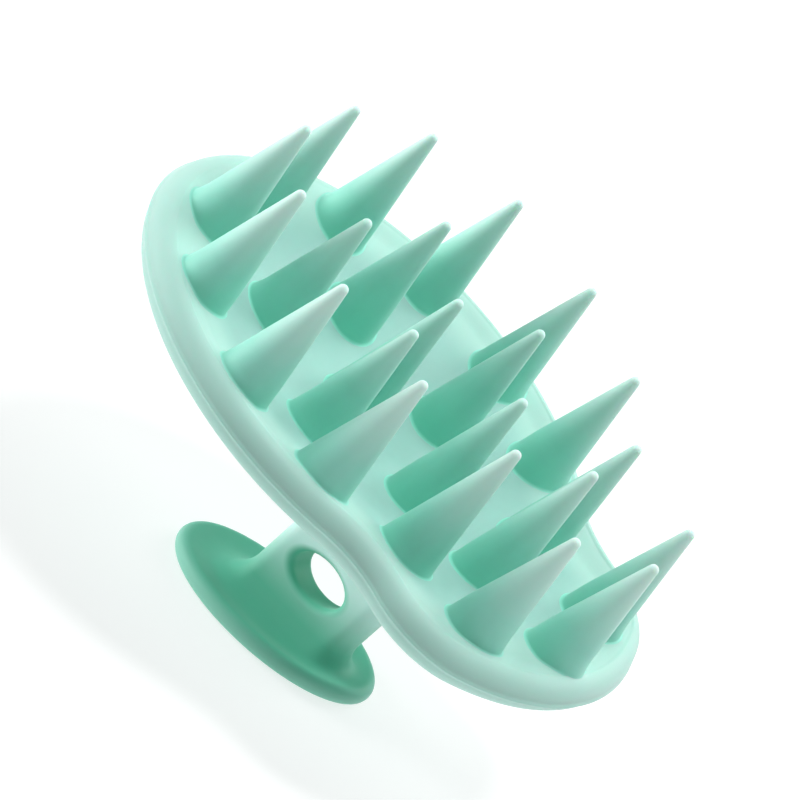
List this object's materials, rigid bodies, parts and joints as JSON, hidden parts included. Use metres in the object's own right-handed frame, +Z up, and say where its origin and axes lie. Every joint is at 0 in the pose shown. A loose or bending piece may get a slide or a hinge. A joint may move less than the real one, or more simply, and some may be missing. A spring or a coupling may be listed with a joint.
{
  "type": "scalp massager brush",
  "caption": "Soft rubber scalp massager brush: a dished pear-shaped pad with long pointed flexible teeth, on a short neck with an oval hole and an oval finger disc",
  "frame": {"origin": "middle of the bounding box in X and Y, at the level of the disc's flat underside, on which the brush stands", "axes": "+Z up through the teeth, +Y from the big lobe to the small lobe, X across the brush, whose mirror plane is X = 0; the pad and the teeth lean 12.5 degrees about X, down towards the small lobe"},
  "size_m": [0.0758, 0.087, 0.0611],
  "materials": {
    "silicone_pad": "matte, slightly translucent mint silicone",
    "silicone_handle": "matte, slightly translucent mint silicone",
    "silicone_teeth": "matte, slightly translucent mint silicone"
  },
  "bodies": {
    "handle_and_pad": {"pad": "silicone_pad", "neck": "silicone_handle", "disc": "silicone_handle"},
    "tooth_01_body": {"tooth_01": "silicone_teeth"},
    "tooth_02_body": {"tooth_02": "silicone_teeth"},
    "tooth_03_body": {"tooth_03": "silicone_teeth"},
    "tooth_04_body": {"tooth_04": "silicone_teeth"},
    "tooth_05_body": {"tooth_05": "silicone_teeth"},
    "tooth_06_body": {"tooth_06": "silicone_teeth"},
    "tooth_07_body": {"tooth_07": "silicone_teeth"},
    "tooth_08_body": {"tooth_08": "silicone_teeth"},
    "tooth_09_body": {"tooth_09": "silicone_teeth"},
    "tooth_10_body": {"tooth_10": "silicone_teeth"},
    "tooth_11_body": {"tooth_11": "silicone_teeth"},
    "tooth_12_body": {"tooth_12": "silicone_teeth"},
    "tooth_13_body": {"tooth_13": "silicone_teeth"},
    "tooth_14_body": {"tooth_14": "silicone_teeth"},
    "tooth_15_body": {"tooth_15": "silicone_teeth"},
    "tooth_16_body": {"tooth_16": "silicone_teeth"},
    "tooth_17_body": {"tooth_17": "silicone_teeth"},
    "tooth_18_body": {"tooth_18": "silicone_teeth"},
    "tooth_19_body": {"tooth_19": "silicone_teeth"},
    "tooth_20_body": {"tooth_20": "silicone_teeth"},
    "tooth_21_body": {"tooth_21": "silicone_teeth"}
  },
  "joints": [
    {"name": "flex_01", "type": "hinge", "parent": "handle_and_pad", "child": "tooth_01_body", "pos_m": [-0.02598, 0.00906, 0.03497], "axis": [1, 0, 0], "range_deg": [-15, 15], "stiffness_Nm_per_rad": 0.05},
    {"name": "flex_02", "type": "hinge", "parent": "handle_and_pad", "child": "tooth_02_body", "pos_m": [-0.03, -0.00556, 0.03836], "axis": [1, 0, 0], "range_deg": [-15, 15], "stiffness_Nm_per_rad": 0.05},
    {"name": "flex_03", "type": "hinge", "parent": "handle_and_pad", "child": "tooth_03_body", "pos_m": [-0.02598, -0.02018, 0.04172], "axis": [1, 0, 0], "range_deg": [-15, 15], "stiffness_Nm_per_rad": 0.05},
    {"name": "flex_04", "type": "hinge", "parent": "handle_and_pad", "child": "tooth_04_body", "pos_m": [-0.015, -0.03088, 0.04416], "axis": [1, 0, 0], "range_deg": [-15, 15], "stiffness_Nm_per_rad": 0.05},
    {"name": "flex_05", "type": "hinge", "parent": "handle_and_pad", "child": "tooth_05_body", "pos_m": [0, -0.0348, 0.04505], "axis": [1, 0, 0], "range_deg": [-15, 15], "stiffness_Nm_per_rad": 0.05},
    {"name": "flex_06", "type": "hinge", "parent": "handle_and_pad", "child": "tooth_06_body", "pos_m": [0.015, -0.03088, 0.04416], "axis": [1, 0, 0], "range_deg": [-15, 15], "stiffness_Nm_per_rad": 0.05},
    {"name": "flex_07", "type": "hinge", "parent": "handle_and_pad", "child": "tooth_07_body", "pos_m": [0.02598, -0.02018, 0.04172], "axis": [1, 0, 0], "range_deg": [-15, 15], "stiffness_Nm_per_rad": 0.05},
    {"name": "flex_08", "type": "hinge", "parent": "handle_and_pad", "child": "tooth_08_body", "pos_m": [0.03, -0.00556, 0.03836], "axis": [1, 0, 0], "range_deg": [-15, 15], "stiffness_Nm_per_rad": 0.05},
    {"name": "flex_09", "type": "hinge", "parent": "handle_and_pad", "child": "tooth_09_body", "pos_m": [0.02598, 0.00906, 0.03497], "axis": [1, 0, 0], "range_deg": [-15, 15], "stiffness_Nm_per_rad": 0.05},
    {"name": "flex_10", "type": "hinge", "parent": "handle_and_pad", "child": "tooth_10_body", "pos_m": [0, 0.00906, 0.02989], "axis": [1, 0, 0], "range_deg": [-15, 15], "stiffness_Nm_per_rad": 0.05},
    {"name": "flex_11", "type": "hinge", "parent": "handle_and_pad", "child": "tooth_11_body", "pos_m": [-0.01531, -0.00151, 0.03362], "axis": [1, 0, 0], "range_deg": [-15, 15], "stiffness_Nm_per_rad": 0.05},
    {"name": "flex_12", "type": "hinge", "parent": "handle_and_pad", "child": "tooth_12_body", "pos_m": [-0.00946, -0.01891, 0.03831], "axis": [1, 0, 0], "range_deg": [-15, 15], "stiffness_Nm_per_rad": 0.05},
    {"name": "flex_13", "type": "hinge", "parent": "handle_and_pad", "child": "tooth_13_body", "pos_m": [0.00946, -0.01891, 0.03831], "axis": [1, 0, 0], "range_deg": [-15, 15], "stiffness_Nm_per_rad": 0.05},
    {"name": "flex_14", "type": "hinge", "parent": "handle_and_pad", "child": "tooth_14_body", "pos_m": [0.01531, -0.00151, 0.03362], "axis": [1, 0, 0], "range_deg": [-15, 15], "stiffness_Nm_per_rad": 0.05},
    {"name": "flex_15", "type": "hinge", "parent": "handle_and_pad", "child": "tooth_15_body", "pos_m": [0, -0.00675, 0.03295], "axis": [1, 0, 0], "range_deg": [-15, 15], "stiffness_Nm_per_rad": 0.05},
    {"name": "flex_16", "type": "hinge", "parent": "handle_and_pad", "child": "tooth_16_body", "pos_m": [-0.0149, 0.01939, 0.03074], "axis": [1, 0, 0], "range_deg": [-15, 15], "stiffness_Nm_per_rad": 0.05},
    {"name": "flex_17", "type": "hinge", "parent": "handle_and_pad", "child": "tooth_17_body", "pos_m": [0.0149, 0.01939, 0.03074], "axis": [1, 0, 0], "range_deg": [-15, 15], "stiffness_Nm_per_rad": 0.05},
    {"name": "flex_18", "type": "hinge", "parent": "handle_and_pad", "child": "tooth_18_body", "pos_m": [0, 0.02298, 0.02941], "axis": [1, 0, 0], "range_deg": [-15, 15], "stiffness_Nm_per_rad": 0.05},
    {"name": "flex_19", "type": "hinge", "parent": "handle_and_pad", "child": "tooth_19_body", "pos_m": [-0.0143, 0.03314, 0.02995], "axis": [1, 0, 0], "range_deg": [-15, 15], "stiffness_Nm_per_rad": 0.05},
    {"name": "flex_20", "type": "hinge", "parent": "handle_and_pad", "child": "tooth_20_body", "pos_m": [0.0143, 0.03314, 0.02995], "axis": [1, 0, 0], "range_deg": [-15, 15], "stiffness_Nm_per_rad": 0.05},
    {"name": "flex_21", "type": "hinge", "parent": "handle_and_pad", "child": "tooth_21_body", "pos_m": [0, 0.03788, 0.02915], "axis": [1, 0, 0], "range_deg": [-15, 15], "stiffness_Nm_per_rad": 0.05}
  ]
}
